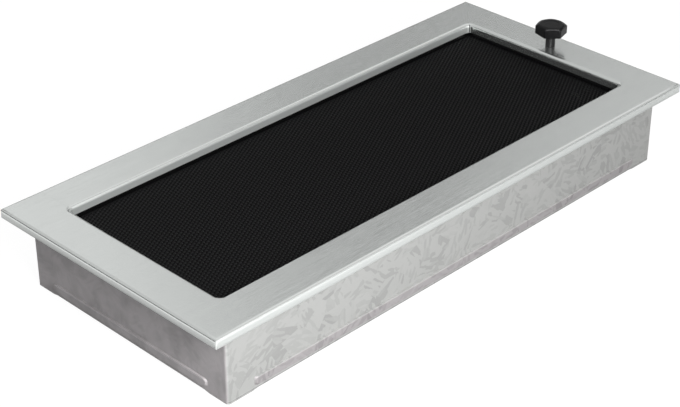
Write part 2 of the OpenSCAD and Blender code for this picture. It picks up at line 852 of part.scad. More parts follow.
// Link bar at rest: open notches for the crank pins, two guide slots and a fork for the drive pin
module link_bar() {
    half_l = pivots[blade_count - 1] + link_end;
    fork_half = slot_w / 2 + prong_w;
    fork_reach = drive_pin_x + pin_d / 2 + over - link_x;
    color("#9da0a3")
        difference() {
            union() {
                translate([link_x, half_stroke - half_l, link_low])
                    cube([link_t, 2 * half_l, link_top - link_low]);
                translate([link_x, drive_pin_y - fork_half, link_low])
                    cube([link_t, 2 * fork_half, fork_top - link_low]);
                translate([link_x, drive_pin_y - fork_half, fork_z])
                    cube([fork_reach, 2 * fork_half, link_t]);
            }
            for (y = pivots)
                translate([link_x - over, y + half_stroke, 0]) {
                    translate([0, -slot_w / 2, link_low - over])
                        cube([link_t + 2 * over, slot_w, notch_top - slot_w / 2 - link_low + over]);
                    translate([0, 0, notch_top - slot_w / 2])
                        rotate([0, 90, 0])
                            cylinder(h = link_t + 2 * over, d = slot_w);
                }
            for (y = [-guide_y, guide_y])
                translate([link_x - over, y, guide_z]) {
                    translate([0, 0, -guide_d / 2 - run_fit])
                        cube([link_t + 2 * over, 2 * half_stroke, guide_d + 2 * run_fit]);
                    for (dy = [0, 2 * half_stroke])
                        translate([0, dy, 0])
                            rotate([0, 90, 0])
                                cylinder(h = link_t + 2 * over, r = guide_d / 2 + run_fit);
                }
            translate([link_out_x + eps, drive_pin_y - slot_w / 2, fork_z - over])
                cube([fork_reach, slot_w, link_t + 2 * over]);
        }
}

// Section of a blade in Y and Z: rolled middle round the spindle, a hem below one edge
// and a raised hem along the other that laps over the next blade
module blade_section() {
    half_t = blade_t / 2;
    root_y = tube_r - blade_t / 2;
    rise_y = blade_half - hem_w;
    fold_y = blade_half - blade_t;
    difference() {
        circle(tube_r);
        circle(spindle_d / 2 + press_fit);
    }
    translate([-fold_y, -half_t]) {
        square([fold_y - root_y, blade_t]);
        translate([0, -blade_t])
            square([hem_w, 1.5 * blade_t]);
        circle(blade_t);
    }
    polygon(strip_outline([[root_y, -half_t], [rise_y - joggle, -half_t], [rise_y + joggle, hem_low],
                           [fold_y, hem_low]], blade_t));
    translate([fold_y, hem_low + blade_t]) {
        circle(blade_t);
        translate([2 * joggle - hem_w, -blade_t / 2])
            square([hem_w - 2 * joggle, 1.5 * blade_t]);
    }
}

module blade(i) {
    color("#2a2a2b")
        translate([0, pivots[i - 1], pivot_z])
            along_x(blade_l)
                blade_section();
}

// Spindle: a plain rod with a small set head outside the crank
module spindle(i) {
    left = web_out_x + spindle_out;
    color("#8f9092")
        translate([-left, pivots[i - 1], pivot_z])
            rotate([0, 90, 0]) {
                cylinder(h = left + crank_out_x + eps, d = spindle_d);
                translate([0, 0, left + crank_out_x])
                    cylinder(h = spindle_head_h, d1 = spindle_d + 2 * spindle_head_h, d2 = spindle_d + eps);
            }
}

// Crank with its pin, at rest 45 degrees off the upright towards +Y
module crank(i) {
    color("#9da0a3")
        translate([crank_x, pivots[i - 1], pivot_z])
            rotate([-45, 0, 0])
                rotate([0, -90, 0])
                    mirror([0, 0, 1]) {
                        lever(spindle_d, spindle_d / 2 + press_fit);
                        translate([crank_r, 0, pin_end_x - crank_x])
                            cylinder(h = crank_x - pin_end_x + eps, d = pin_d);
                    }
}

face_plate();
mesh_panel();
rail_near();
rail_far();
end_plate_left();
end_plate_right();
frame_rivets();
bushes_left();
bushes_right();
guide_rivets();
clip_at(-clip_x, -1);  // clip_near_left
clip_at(clip_x, -1);  // clip_near_right
clip_at(-clip_x, 1);  // clip_far_left
clip_at(clip_x, 1);  // clip_far_right
clip_rivets();
mounting_sleeve();
sleeve_rivets();
friction_washer();
knob_head();
knob_stem();
drive_arm();
drive_pin();
link_bar();
for (i = [1:blade_count]) {
    blade(i);
    spindle(i);
    crank(i);
}
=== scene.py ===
"""Fireplace vent grille: brushed face plate, black expanded mesh, louvred shutter and spangled sleeve.

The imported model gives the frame. Each operator models or finishes one group of pieces, and main() calls them.
"""

import math

import bmesh
import bpy
from mathutils import Matrix, Vector


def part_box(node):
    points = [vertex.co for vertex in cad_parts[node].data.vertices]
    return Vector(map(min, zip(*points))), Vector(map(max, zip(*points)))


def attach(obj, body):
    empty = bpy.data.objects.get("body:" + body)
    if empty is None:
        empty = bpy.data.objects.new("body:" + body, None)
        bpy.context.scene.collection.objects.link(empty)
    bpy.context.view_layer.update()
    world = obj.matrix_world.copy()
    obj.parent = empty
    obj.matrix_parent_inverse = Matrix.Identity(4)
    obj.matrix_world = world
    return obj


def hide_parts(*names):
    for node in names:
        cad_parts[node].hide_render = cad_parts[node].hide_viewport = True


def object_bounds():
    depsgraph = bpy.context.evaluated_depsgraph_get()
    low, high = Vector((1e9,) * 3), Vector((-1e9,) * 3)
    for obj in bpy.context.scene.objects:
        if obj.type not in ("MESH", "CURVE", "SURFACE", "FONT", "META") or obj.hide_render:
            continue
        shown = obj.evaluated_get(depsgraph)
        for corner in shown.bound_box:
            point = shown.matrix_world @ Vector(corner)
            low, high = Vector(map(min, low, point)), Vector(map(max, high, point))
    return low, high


bl_info = {
    "name": "Vent Grille",
    "version": (1, 0, 0),
    "blender": (4, 5, 0),
    "location": "View3D > Sidebar > Vent Grille",
    "description": "Models and finishes a fireplace vent grille with a shutter",
    "category": "Add Mesh",
}

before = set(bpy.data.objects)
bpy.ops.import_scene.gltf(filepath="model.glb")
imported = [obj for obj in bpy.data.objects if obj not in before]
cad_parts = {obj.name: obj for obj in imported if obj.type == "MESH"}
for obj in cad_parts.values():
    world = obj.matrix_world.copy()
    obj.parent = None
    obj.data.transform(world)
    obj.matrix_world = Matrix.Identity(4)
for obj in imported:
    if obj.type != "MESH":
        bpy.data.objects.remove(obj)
CAD_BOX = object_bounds()
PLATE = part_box("face_plate")
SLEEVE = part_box("mounting_sleeve")
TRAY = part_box("mesh_panel")
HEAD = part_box("knob_head")
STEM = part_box("knob_stem")
MM = 0.001


def length(name, text, default, low=0.0):
    """A size in metres that the panel shows in the scene's unit."""
    return bpy.props.FloatProperty(
        name=name, description=text, default=default, min=low, subtype="DISTANCE", unit="LENGTH", precision=5
    )


def share(name, text, default):
    """A number from 0 to 1."""
    return bpy.props.FloatProperty(name=name, description=text, default=default, min=0, max=1, subtype="FACTOR")


def tint(name, text, default):
    """A linear colour."""
    return bpy.props.FloatVectorProperty(
        name=name, description=text, default=default, size=3, min=0, max=1, subtype="COLOR"
    )


class PlateSettings(bpy.types.PropertyGroup):
    """Sizes and colour of the face plate"""

    long: length("Length", "Length of the plate over its rims", 373.0 * MM)
    wide: length("Width", "Width of the plate over its rims", 171.6 * MM)
    sheet: length("Sheet", "Thickness of the plate's sheet", 1 * MM)
    rim: length("Rim", "Height of the rim that is turned down round the plate", 7.0 * MM)
    rim_bend: length("Rim bend", "Outer radius of the wide bend between the plate and its rim", 2.1 * MM)
    foot_bend: length("Foot bend", "Outer radius of the bend at the rim's foot", 3 * MM)
    lip_bend: length("Lip bend", "Outer radius of the bend round the opening", 2.3 * MM)
    corner: length("Corner", "Radius of the plate's four corners", 1.5 * MM)
    foot: length("Foot", "Width of the flange turned in at the rim's foot", 5 * MM)
    opening_length: length("Opening length", "Length of the opening", 322 * MM)
    opening_width: length("Opening width", "Width of the opening", 120 * MM)
    opening_corner: length("Opening corner", "Radius of the opening's corners", 3.6 * MM)
    seam: length("Seam", "Width of the open seam at each corner of the lip", 0.5 * MM)
    lip: length("Lip", "Height of the lip turned down round the opening", 5.7 * MM)
    steel: tint("Steel", "Colour of the brushed steel", (0.775, 0.8, 0.785))


class MeshSettings(bpy.types.PropertyGroup):
    """Sizes and colour of the expanded mesh and its tray"""

    cell_length: length("Cell length", "Long way of one diamond", 4.415 * MM)
    cell_width: length("Cell width", "Short way of one diamond", 2.367 * MM)
    strand: length("Strand", "Half the width of a strand", 0.36 * MM)
    thickness: length("Thickness", "Thickness of the mesh's sheet", 0.4 * MM)
    top: length("Top", "Height of the mesh's upper side above the rear rim", 42.2 * MM)
    tilt: bpy.props.FloatProperty(
        name="Tilt", description="Turn of the strands out of the sheet", default=math.radians(24), subtype="ANGLE"
    )
    hem: length("Hem", "Width of the plain border of the tray", 2.2 * MM)
    tray_sheet: length("Tray sheet", "Thickness of the tray's sheet", 0.6 * MM)
    tray_bend: length("Tray bend", "Radius of the bend along the tray's foot", 1.2 * MM)
    paint: tint("Paint", "Colour of the black paint", (0.003, 0.003, 0.0033))


class SleeveSettings(bpy.types.PropertyGroup):
    """Sizes and colour of the mounting sleeve and its beads"""

    wall_length: length("Length", "Length of the sleeve over its walls", 346 * MM)
    wall_width: length("Width", "Width of the sleeve over its walls", 154 * MM)
    sheet: length("Sheet", "Thickness of the sleeve's sheet", 1 * MM)
    corner: length("Corner", "Outer radius of the corner bends", 2 * MM)
    bead_low: length("Bead foot", "Height of the bead's lower edge above the rear rim", 1 * MM)
    bead_high: length("Bead top", "Height of the bead's upper edge above the rear rim", 8.3 * MM)
    crest_low: length("Crest foot", "Height of the crest's lower edge", 3.0 * MM)
    crest_high: length("Crest top", "Height of the crest's upper edge", 8.0 * MM)
    bead_ramp: length("Bead ramp", "Length of the ramp at each end of a bead", 1.7 * MM)
    bead_rise: length("Bead rise", "Height of the bead above the wall", 1.0 * MM)
    bead_round_low: length("Bead's lower rounding", "Radius of the bead's lower corners", 4.0 * MM)
    bead_round_high: length("Bead's upper rounding", "Radius of the bead's upper corners", 2.6 * MM)
    drawn: length("Drawn", "How far the pressing draws the rim up between the bead's ends", 0.6 * MM)
    drawn_run: length("Drawn run", "Length over which the rim rises", 3.5 * MM)
    bead_end_short: length("Bead end, short wall", "Distance from the corner to the bead", 14 * MM)
    bead_end_long: length("Bead end, long wall", "Distance from the corner to the bead", 16.5 * MM)
    lap: length("Lap", "Width of the lapped seam inside the far right corner", 15 * MM)
    zinc: tint("Zinc", "Mean colour of the zinc", (0.39, 0.387, 0.385))


class KnobSettings(bpy.types.PropertyGroup):
    """Sizes and colour of the knob"""

    chamfer: length("Chamfer", "Height of the coned edge at the corners", 1.7 * MM)
    flat: length("Flat", "Radius of the flat on top", 6.5 * MM)
    dish: length("Dish", "Radius of the dish in the flat", 4.6 * MM)
    dish_depth: length("Dish depth", "Depth of the dish", 0.35 * MM)
    neck: length("Neck", "Radius of the stem where it goes through the plate", 2 * MM)
    plastic: tint("Plastic", "Colour of the moulded plastic", (0.005, 0.005, 0.0055))


class StageSettings(bpy.types.PropertyGroup):
    """Floor, light and camera"""

    floor: tint("Floor", "Colour of the floor", (0.4, 0.4, 0.4))
    white: share("White", "How far the floor is its own white to the eye", 0.88)
    mirrored: share("Mirrored", "How far the floor is its own white to metal", 0.8)
    glow: bpy.props.FloatProperty(name="Glow", description="Strength of the floor's own white", default=1.06, min=0)
    key_power: bpy.props.FloatProperty(name="Key", description="Power of the key light", default=5.5, unit="POWER")
    lens: bpy.props.FloatProperty(name="Lens", description="Focal length", default=92.607, unit="CAMERA")
    eye: bpy.props.FloatVectorProperty(
        name="Eye", description="Place of the camera", default=(-0.62120, -0.60054, 0.52686), subtype="TRANSLATION"
    )


# the camera's right and up, from the fit to the photograph's edges
CAMERA_RIGHT = Vector((0.704333, -0.709867, -0.001866))
CAMERA_UP = Vector((0.365738, 0.360632, 0.858009))

# the key light's place, the point it is aimed at, and its two sides
KEY_LAMP = (-0.27, -0.55, 0.35), (-0.05, -0.05, 0.02), (0.3, 0.25)

# soft patches of the studio's light tent: azimuth, elevation, inner and outer half-angle, and added strength
SKY_CARDS = (
    (43.5, 31.5, 1, 8, -0.4),
    (62, 32, 4, 16, 0.22),
    (-20, 55, 20, 50, 0.25),
    (-75, 20, 25, 70, -0.3),
)


# --- shader graphs ---


class Wire:
    """A shader socket whose arithmetic adds Math nodes."""

    def __init__(self, board, socket):
        self.board = board
        self.socket = socket

    def maths(self, operation, *terms):
        return self.board.add("ShaderNodeMath", dict(operation=operation), dict(enumerate(terms)))

    def __add__(self, other):
        return self.maths("ADD", self, other)

    __radd__ = __add__

    def __sub__(self, other):
        return self.maths("SUBTRACT", self, other)

    def __rsub__(self, other):
        return self.maths("SUBTRACT", other, self)

    def __mul__(self, other):
        return self.maths("MULTIPLY", self, other)

    __rmul__ = __mul__

    def size(self):
        """The value without its sign."""
        return self.maths("ABSOLUTE", self)

    def steps(self, low, high):
        """Rises smoothly from 0 at low to 1 at high."""
        return self.board.add(
            "ShaderNodeMapRange",
            dict(interpolation_type="SMOOTHSTEP"),
            {"Value": self, "From Min": low, "From Max": high},
        )


class Board:
    """The node tree of a material or of the world."""

    def __init__(self, owner):
        owner.use_nodes = True
        self.tree = owner.node_tree
        self.tree.nodes.clear()

    def add(self, kind, settings=None, inputs=None, output=0):
        """Adds a node, sets it first and then its sockets, and gives the output that is asked for."""
        node = self.tree.nodes.new(kind)
        for key, value in (settings or {}).items():
            setattr(node, key, value)
        for key, value in (inputs or {}).items():
            if isinstance(value, Wire):
                self.tree.links.new(value.socket, node.inputs[key])
            else:
                node.inputs[key].default_value = value
        return Wire(self, node.outputs[output])

    def place(self, scale=(1, 1, 1)):
        """Object coordinates, scaled."""
        where = self.add("ShaderNodeTexCoord", output="Object")
        return self.add("ShaderNodeMapping", inputs={"Vector": where, "Scale": scale})

    def axes(self, where):
        """The three coordinates of a place."""
        return [self.add("ShaderNodeSeparateXYZ", inputs={"Vector": where}, output=axis) for axis in "XYZ"]

    def noise(self, where, scale, detail=2.0, rough=0.5, output="Fac"):
        return self.add(
            "ShaderNodeTexNoise", inputs={"Vector": where, "Scale": scale, "Detail": detail, "Roughness": rough},
            output=output,
        )

    def blend(self, factor, first, second):
        """Mix of two colours."""
        return self.add("ShaderNodeMix", dict(data_type="RGBA"), {0: factor, 6: first, 7: second}, output=2)

    def shade(self, value, colour):
        """The colour, brightened by a value."""
        colour = colour if isinstance(colour, Wire) else colour[:3]
        return self.add("ShaderNodeVectorMath", dict(operation="SCALE"), {0: colour, "Scale": value})

    def bump(self, height, distance):
        return self.add("ShaderNodeBump", inputs={"Height": height, "Distance": distance, "Strength": 1.0})

    def surface(self, **inputs):
        """The Principled surface; an underscore in a name stands for a space."""
        shader = self.add("ShaderNodeBsdfPrincipled", inputs={k.replace("_", " "): v for k, v in inputs.items()})
        self.add_output("ShaderNodeOutputMaterial", shader)

    def add_output(self, kind, shader):
        node = self.tree.nodes.new(kind)
        self.tree.links.new(shader.socket, node.inputs["Surface"])


def rgb(colour, level=1.0):
    """A colour times a level, as a socket takes it."""
    return (colour[0] * level, colour[1] * level, colour[2] * level, 1)


# --- modelling ---


def clear_selection():
    if bpy.context.object and bpy.context.object.mode != "OBJECT":
        bpy.ops.object.mode_set(mode="OBJECT")
    bpy.ops.object.select_all(action="DESELECT")


def primitive(operator, name, **shape):
    """Adds a primitive at its size and place, with its place in its mesh."""
    clear_selection()
    scale = shape.pop("stretch", None)
    operator(**shape)
    piece = bpy.context.object
    piece.name = piece.data.name = name
    if scale:
        piece.scale = scale
    bpy.ops.object.transform_apply(location=True, rotation=True, scale=True)
    return piece


def alone(piece):
    clear_selection()
    piece.select_set(True)
    bpy.context.view_layer.objects.active = piece


def edit(piece):
    alone(piece)
    bpy.ops.object.mode_set(mode="EDIT")
    bpy.ops.mesh.select_mode(type="FACE")
    bpy.ops.mesh.select_all(action="DESELECT")


def pick(kind, test):
    """Selects the faces, edges or vertices of the mesh being edited that pass the test."""
    mesh = bmesh.from_edit_mesh(bpy.context.object.data)
    bpy.ops.mesh.select_mode(type=kind)
    bpy.ops.mesh.select_all(action="DESELECT")
    for item in {"FACE": mesh.faces, "EDGE": mesh.edges, "VERT": mesh.verts}[kind]:
        if test(item):
            item.select_set(True)
    mesh.select_flush_mode()
    bmesh.update_edit_mesh(bpy.context.object.data)


def middle(edge):
    """Middle point of an edge."""
    return (edge.verts[0].co + edge.verts[1].co) / 2


def run(edge):
    """Direction of an edge."""
    return (edge.verts[1].co - edge.verts[0].co).normalized()


def done():
    bpy.ops.object.mode_set(mode="OBJECT")


def modifier(piece, kind, **settings):
    """Adds a modifier, sets it and applies it."""
    alone(piece)
    new = piece.modifiers.new(kind.title(), kind)
    for key, value in settings.items():
        setattr(new, key, value)
    bpy.ops.object.modifier_apply(modifier=new.name)


def smooth(piece, angle=35):
    alone(piece)
    bpy.ops.object.shade_smooth_by_angle(angle=math.radians(angle))
    modifier(piece, "WEIGHTED_NORMAL", keep_sharp=True)


def cut(point, normal):
    """Splits the mesh being edited by a plane, without removing anything."""
    bpy.ops.mesh.select_all(action="SELECT")
    bpy.ops.mesh.bisect(plane_co=point, plane_no=normal)


def trim(piece, point, normal):
    """Removes what lies on the normal's side of a plane."""
    edit(piece)
    bpy.ops.mesh.select_all(action="SELECT")
    bpy.ops.mesh.bisect(plane_co=point, plane_no=normal, clear_outer=True)
    done()


def dress(piece, material, body, replaces=()):
    """Gives a finished piece its material and the body it rides on, and hides the nodes it stands for."""
    piece.data.materials.clear()
    piece.data.materials.append(material)
    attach(piece, body)
    if replaces:
        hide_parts(*replaces)


def turned(name, centre, profile, sides=48):
    """A turned piece: a circle extruded and widened through a profile of radius and height."""
    radius, height = profile[0]
    piece = primitive(
        bpy.ops.mesh.primitive_circle_add, name, vertices=sides, radius=radius, fill_type="NGON",
        location=(*centre, height),
    )
    edit(piece)
    bpy.ops.mesh.select_all(action="SELECT")
    for wide, high in profile[1:]:
        bpy.ops.mesh.extrude_region_move(TRANSFORM_OT_translate={"value": (0, 0, high - height)})
        bpy.ops.transform.resize(value=(wide / radius, wide / radius, 1), center_override=(*centre, high))
        radius, height = wide, high
    bpy.ops.mesh.select_all(action="SELECT")
    bpy.ops.mesh.normals_make_consistent(inside=False)
    done()
    smooth(piece, 40)
    return piece


def repaint(names, material):
    """Gives CAD nodes a finish."""
    for name in names:
        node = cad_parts[name]
        if not node.material_slots:
            node.data.materials.append(material)
        for slot in node.material_slots:
            slot.material = material


# --- finishes ---


def finish(name, build):
    """The material of that name, built once."""
    if name not in bpy.data.materials:
        build(Board(bpy.data.materials.new(name)))
    return bpy.data.materials[name]


def brushed_steel(board):
    """Stainless sheet brushed along its length; the marks follow the sheet round its folds."""
    steel = bpy.context.scene.vent_plate.steel
    where = board.place()
    x, y, z = board.axes(where)
    # on the folds of the short sides the marks run downwards, and so don't change with the height
    short = x.size().steps(160.2 * MM, 160.4 * MM) * (1 - y.size().steps(84.8 * MM, 85 * MM))
    height = z * (1 - short)

    def marks(along, across):
        stretched = board.add("ShaderNodeCombineXYZ", inputs={"X": x * along, "Y": y * across, "Z": height * across})
        return board.noise(stretched, 1.0, 3, 0.6)

    coarse, fine = marks(6, 900), marks(25, 4200)
    cloud = board.noise(where, 14.0, 3, 0.5)
    grain = 0.6 * coarse + 0.4 * fine
    # across the folds of the long sides the marks spread the light
    spread = (1 - short) * (1 - z.steps(48.8 * MM, 49.8 * MM))
    board.surface(
        Base_Color=board.shade(0.93 + 0.1 * grain + 0.04 * cloud, rgb(steel)),
        Metallic=0.95 - 0.12 * spread,
        Roughness=0.13 + 0.08 * grain + 0.04 * cloud + 0.36 * spread,
        Normal=board.bump(fine + 0.3 * coarse, 0.04 * MM),
    )


def black_paint(board):
    """Satin powder coat with a fine orange peel."""
    paint = bpy.context.scene.vent_mesh.paint
    peel = board.noise(board.place(), 900.0, 3, 0.55)
    dust = board.noise(board.place(), 60.0, 4, 0.6).steps(0.55, 0.8)
    board.surface(
        Base_Color=board.blend(dust * 0.25, rgb(paint), rgb(paint, 1.9)),
        Roughness=0.3 + 0.1 * peel,
        Specular_IOR_Level=0.13,
        Normal=board.bump(peel, 0.02 * MM),
    )


def spangled_zinc(board):
    """Hot-dip zinc: crystals with straight-edged dark leaves, sharp on the long walls and faint on the short ones,
    with painted highlights and painted shade on the beads and corner bends.
    """
    s = bpy.context.scene.vent_sleeve
    crystal_scale, leaf_scale, leaf_stretch, ruffled = 90.0, 165.0, 3.4, 1.3 * MM
    full_turn = 6.283
    where = board.place()
    x, y, z = board.axes(where)
    wall = board.add("ShaderNodeCombineXYZ", inputs={"X": x + y, "Y": z})

    def cells(vector, scale, output):
        """One channel of a random colour for each cell."""
        colour = board.add(
            "ShaderNodeTexVoronoi", dict(voronoi_dimensions="2D"), {"Vector": vector, "Scale": scale}, output="Color"
        )
        return board.add("ShaderNodeSeparateColor", inputs={"Color": colour}, output=output)

    ruffle = board.noise(where, 520.0, 3, 0.6, output="Color")
    wall = board.add(
        "ShaderNodeVectorMath", dict(operation="MULTIPLY_ADD"), {0: ruffle, 1: (ruffled, ruffled, 0), 2: wall}
    )
    tone = cells(wall, crystal_scale, "Red")
    # each crystal has its own direction, and its leaves are long cells across it
    spun = board.add(
        "ShaderNodeVectorRotate", dict(rotation_type="Z_AXIS"),
        {"Vector": wall, "Angle": cells(wall, crystal_scale, "Green") * full_turn},
    )
    stretched = board.add("ShaderNodeMapping", inputs={"Vector": spun, "Scale": (1, leaf_stretch, 1)})
    leaf = cells(stretched, leaf_scale, "Red")
    fleck = board.noise(where, 420.0, 3, 0.6)
    cloud = board.noise(where, 70.0, 2, 0.5)
    half_l, half_w = s.wall_length / 2, s.wall_width / 2
    short = x.size().steps(half_l - 0.8 * MM, half_l - 0.2 * MM)
    leaves = leaf.steps(0.5, 0.72) * (0.35 + 0.65 * tone)
    dark = leaves * (1 - 0.65 * short) + 0.15 * tone * (1 - short) + short * 0.8 * cloud.steps(0.4, 0.65)
    # a painted highlight on the sleeve's four corner bends
    painted_fold_highlight = (x.size().steps(half_l - 1.4 * MM, half_l - 0.6 * MM)
            * y.size().steps(half_w - 1.4 * MM, half_w - 0.6 * MM))
    # painted shade darkens the bead's crest, strongly on the long walls and faintly on the short ones, and a painted
    # highlight brightens its lower flank on the long walls
    short_end = half_w - s.bead_end_short - 2 * MM
    long_end = half_l - s.bead_end_long - s.bead_ramp
    along = x.maths(
        "MAXIMUM", short * (1 - y.size().steps(short_end - 0.5 * MM, short_end + 0.5 * MM)),
        (1 - short) * (1 - x.size().steps(long_end, long_end + 0.8 * MM)),
    )
    crest = (z.steps(s.crest_low - 0.4 * MM, s.crest_low)
             * (1 - z.steps(s.crest_high - 0.4 * MM, s.crest_high)) * along)
    # a painted highlight on the lower flank of the beads on the long walls
    flank = (1 - z.steps(1.6 * MM, 2.4 * MM)) * (1 - short)
    # a painted highlight along the top of the bead's crest
    edge = crest * z.steps(7.1 * MM, 7.4 * MM)
    # painted shade along the crease at the bead's foot on the long walls
    painted_foot_shade = flank * z.steps(0.7 * MM, 0.9 * MM) * (1 - z.steps(1.2 * MM, 1.4 * MM))
    level = (1.06 - 0.2 * dark + 0.05 * (fleck - 0.5) + 0.25 * painted_fold_highlight - 0.2 * crest * (1 - 0.9 * short)
             + 0.1 * flank + 0.3 * edge - 0.45 * painted_foot_shade)
    # the long walls keep a greenish grey; the short walls and the shaded crest take a purplish grey, a painted tint
    # of their shade
    green, purple_shade = (
        rgb([c * k for c, k in zip(s.zinc, cast)]) for cast in ((0.99, 1.005, 0.99), (1.1, 1.055, 1.08))
    )
    board.surface(
        Base_Color=board.shade(level, board.blend(x.maths("MAXIMUM", short, crest), green, purple_shade)),
        Metallic=0.12,
        Roughness=0.5 + 0.12 * dark,
        Normal=board.bump(0.5 * dark + 0.2 * fleck, 0.02 * MM),
    )


def plated_steel(board):
    """Bright zinc plating on turned and pressed small parts."""
    where = board.place()
    cloud = board.noise(where, 90.0, 3, 0.6)
    scratch = board.noise(board.place((1200, 60, 60)), 1.0, 2, 0.6)
    board.surface(
        Base_Color=board.blend(cloud, (0.56, 0.57, 0.59, 1), (0.66, 0.66, 0.63, 1)),
        Metallic=1.0,
        Roughness=0.24 + 0.14 * cloud + 0.06 * scratch,
        Normal=board.bump(scratch, 0.004 * MM),
    )


def spring_steel(board):
    """Cold rolled spring strip with rolling marks and a blue cast."""
    roll = board.noise(board.place((40, 1500, 1500)), 1.0, 3, 0.6)
    cloud = board.noise(board.place(), 50.0, 2, 0.5)
    board.surface(
        Base_Color=board.blend(cloud, (0.42, 0.43, 0.46, 1), (0.52, 0.53, 0.54, 1)),
        Metallic=1.0,
        Roughness=0.26 + 0.12 * roll,
        Normal=board.bump(roll, 0.004 * MM),
    )


def nylon(board):
    """Natural nylon with a moulded surface."""
    cloud = board.noise(board.place(), 240.0, 3, 0.6)
    board.surface(
        Base_Color=board.blend(cloud, (0.66, 0.63, 0.55, 1), (0.74, 0.72, 0.65, 1)),
        Roughness=0.42 + 0.1 * cloud,
        Subsurface_Weight=0.1,
        Subsurface_Radius=(0.001, 0.0008, 0.0006),
        Normal=board.bump(cloud, 0.01 * MM),
    )


def moulded_black(board):
    """Black moulded plastic with a fine satin grain."""
    plastic = bpy.context.scene.vent_knob.plastic
    grain = board.noise(board.place(), 1600.0, 2, 0.5)
    wear = board.noise(board.place(), 120.0, 3, 0.6).steps(0.5, 0.75)
    board.surface(
        Base_Color=board.blend(wear * 0.4, rgb(plastic), rgb(plastic, 1.6)),
        Roughness=0.36 + 0.1 * grain,
        Specular_IOR_Level=0.25,
        Normal=board.bump(grain, 0.015 * MM),
    )


def black_oxide(board):
    """Turned steel with a black oxide finish."""
    rings = board.noise(board.place((60, 60, 4000)), 1.0, 3, 0.6)
    cloud = board.noise(board.place(), 200.0, 2, 0.5)
    board.surface(
        Base_Color=board.blend(cloud, (0.006, 0.006, 0.007, 1), (0.012, 0.012, 0.013, 1)),
        Metallic=0.1,
        Roughness=0.45 + 0.1 * rings,
        Normal=board.bump(rings, 0.006 * MM),
    )


def floor_paper(board):
    """White paper that stays white to the eye, and to metal away from the walls, with painted shade for metal near
    them; it sends little light back to the walls.
    """
    s = bpy.context.scene.vent_stage
    tooth = board.noise(board.place(), 400.0, 2, 0.5)
    eye, metal, glass = (
        board.add("ShaderNodeLightPath", output=kind)
        for kind in ("Is Camera Ray", "Is Glossy Ray", "Is Transmission Ray")
    )
    paper_white = board.shade(0.89 + 0.02 * tooth, (1, 1, 1))
    paper = board.add("ShaderNodeBsdfDiffuse", inputs={"Color": board.blend(eye, rgb(s.floor), paper_white)})
    glow = board.add("ShaderNodeEmission", inputs={"Color": (1, 1, 1, 1), "Strength": s.glow})
    x, y, _ = board.axes(board.place())
    # close to the walls the floor's own white fades out for metal, a painted shade round the sleeve through which
    # metal sees the shaded paper
    aside, ahead = x.size() - SLEEVE[1].x, y.size() - SLEEVE[1].y
    clear = x.maths("MAXIMUM", aside.steps(20 * MM, 120 * MM), ahead.steps(0, 160 * MM))
    glowing = s.white * (eye + glass) + s.mirrored * metal * clear
    mixed = board.add("ShaderNodeMixShader", inputs={0: glowing, 1: paper, 2: glow})
    board.add_output("ShaderNodeOutputMaterial", mixed)


# --- operators ---


